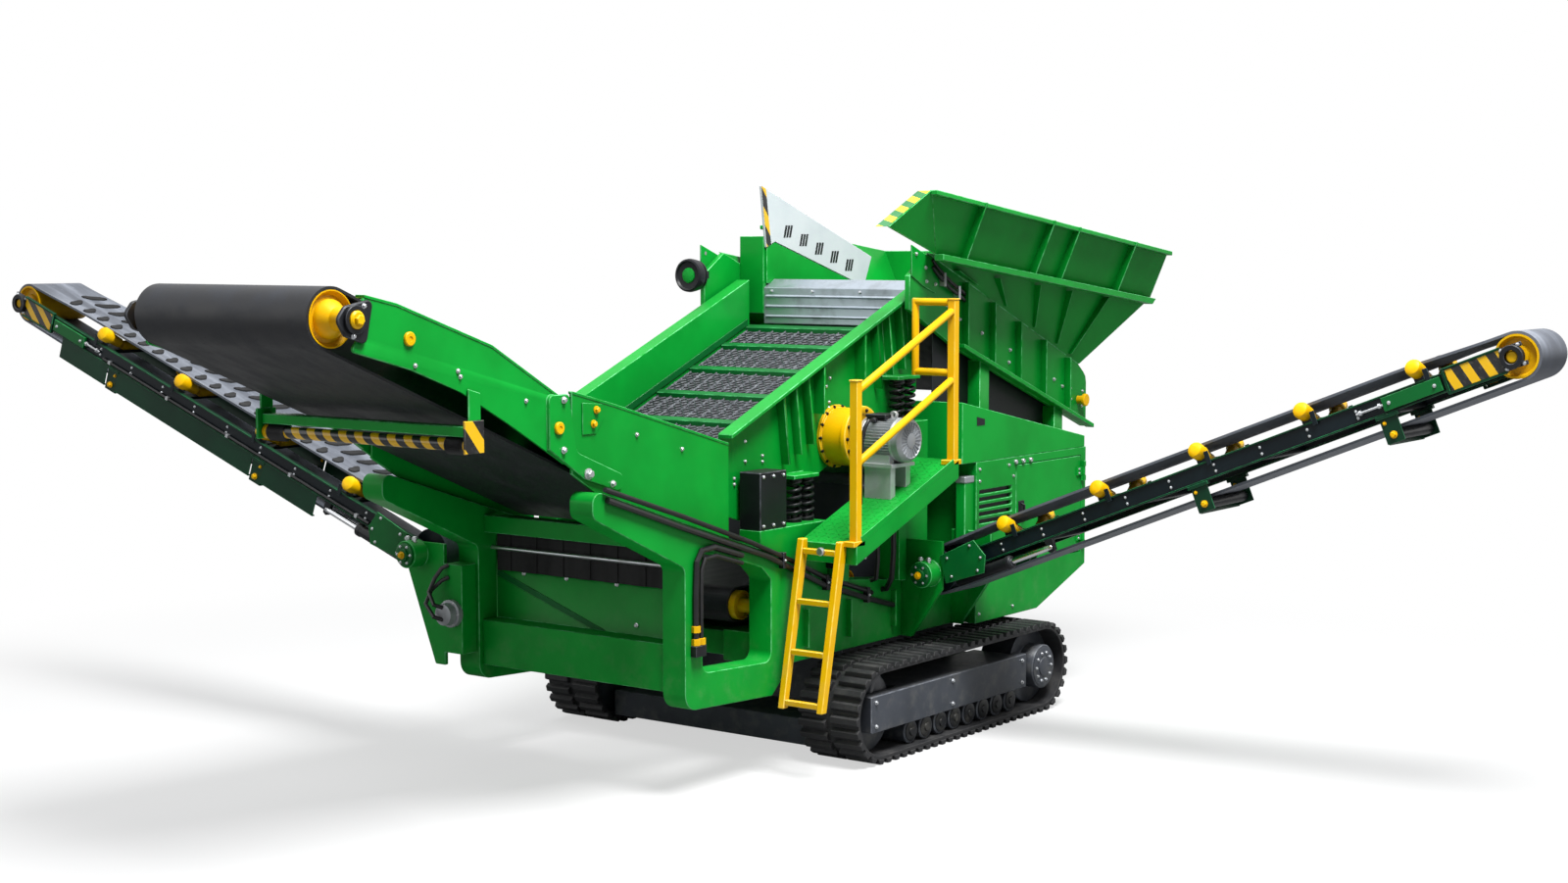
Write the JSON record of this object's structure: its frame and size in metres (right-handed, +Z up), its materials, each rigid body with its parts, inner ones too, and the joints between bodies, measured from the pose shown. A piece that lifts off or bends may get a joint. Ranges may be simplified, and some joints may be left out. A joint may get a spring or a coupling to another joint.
{
  "type": "tracked vibrating screen",
  "caption": "Tracked vibrating screen with feed hopper, inclined sprung screen box, wide tail conveyor, side conveyors, walkway with ladder and engine housing.",
  "frame": {"origin": "on the ground under the middle of the machine's bounding box", "axes": "+X to the walkway side, along the side conveyors; +Y to the hopper end; +Z up"},
  "size_m": [10.2996, 7.8189, 3.61],
  "materials": {
    "green_paint": "satin",
    "yellow_paint": "satin",
    "black_rubber": "matte",
    "dark_paint": "satin",
    "steel": "worn",
    "grey_casting": "cast",
    "navy_paint": "satin",
    "white_paint": "satin",
    "deck_rubber": "matte",
    "black_paint": "satin"
  },
  "bodies": {
    "chassis": {"tracks": "black_rubber", "track_frames": "dark_paint", "bolster": "black_paint", "chassis_rails": "green_paint", "chassis_sides": "green_paint", "front_beams": "green_paint", "power_pack": "black_paint", "fines_belt": "black_rubber", "fines_drums": "yellow_paint", "engine_housing": "green_paint", "engine_canopy": "green_paint", "walkway": "green_paint", "handrail": "yellow_paint", "ladder": "yellow_paint", "exciter_motor": "grey_casting", "front_springs": "black_paint", "rear_springs": "black_paint", "spring_towers": "green_paint", "spring_guards": "black_paint", "feeder_sides": "green_paint", "feeder_belt": "black_rubber", "feeder_bed": "black_paint", "chute_cheeks": "green_paint", "feed_plate": "steel", "deflector_plate": "white_paint", "left_hopper_wall": "green_paint", "right_hopper_wall": "green_paint", "hopper_rear_wall": "green_paint", "work_lamp": "black_paint", "tail_sides": "green_paint", "tail_bearings": "black_paint", "discharge_panels": "green_paint", "tail_belt": "black_rubber", "tail_bed": "black_paint", "tail_spreader": "yellow_paint", "boom_brackets": "green_paint", "hydraulic_hoses": "black_rubber"},
    "screen_box": {"screen_walls": "green_paint", "screen_deck_frame": "green_paint", "screen_mesh": "deck_rubber", "exciter_drum": "yellow_paint"},
    "left_conveyor": {"left_boom": "navy_paint", "left_belt": "black_rubber", "left_rollers": "yellow_paint", "left_lift_cylinder": "black_paint"},
    "right_conveyor": {"right_boom": "navy_paint", "right_belt": "black_rubber", "right_rollers": "yellow_paint", "right_lift_cylinder": "black_paint"},
    "left_drum": {"left_head_drum": "yellow_paint"},
    "right_drum": {"right_head_drum": "yellow_paint"},
    "tail_drum": {"tail_head_drum": "yellow_paint"},
    "left_door": {"left_engine_door": "green_paint"},
    "right_door": {"right_engine_door": "green_paint"}
  },
  "joints": [
    {"name": "screen_shake", "type": "slide", "parent": "chassis", "child": "screen_box", "axis": [0, 0, 1], "range_m": [-0.006, 0.006], "stiffness_N_per_m": 280000, "springref_m": 0.0086, "deforming": ["front_springs", "rear_springs"]},
    {"name": "right_conveyor_lift", "type": "hinge", "parent": "chassis", "child": "right_conveyor", "pos_m": [1.29, 1.21035, 1.09], "axis": [0, -1, 0], "range_deg": [0, 40]},
    {"name": "left_conveyor_lift", "type": "hinge", "parent": "chassis", "child": "left_conveyor", "pos_m": [-0.95, -1.14965, 1.3], "axis": [0, 1, 0], "range_deg": [0, 40]},
    {"name": "right_drum_turn", "type": "hinge", "parent": "right_conveyor", "child": "right_drum", "pos_m": [5.01, 1.21035, 2.59298], "axis": [0, 1, 0], "continuous": true},
    {"name": "left_drum_turn", "type": "hinge", "parent": "left_conveyor", "child": "left_drum", "pos_m": [-5.01, -1.14965, 2.77772], "axis": [0, -1, 0], "continuous": true},
    {"name": "tail_drum_turn", "type": "hinge", "parent": "chassis", "child": "tail_drum", "pos_m": [0.17, -3.74965, 2.84], "axis": [1, 0, 0], "continuous": true},
    {"name": "right_door_swing", "type": "hinge", "parent": "chassis", "child": "right_door", "pos_m": [1.234, 3.01035, 1], "axis": [0, 0, 1], "range_deg": [0, 110]},
    {"name": "left_door_swing", "type": "hinge", "parent": "chassis", "child": "left_door", "pos_m": [-0.894, 3.01035, 1], "axis": [0, 0, -1], "range_deg": [0, 110]}
  ]
}
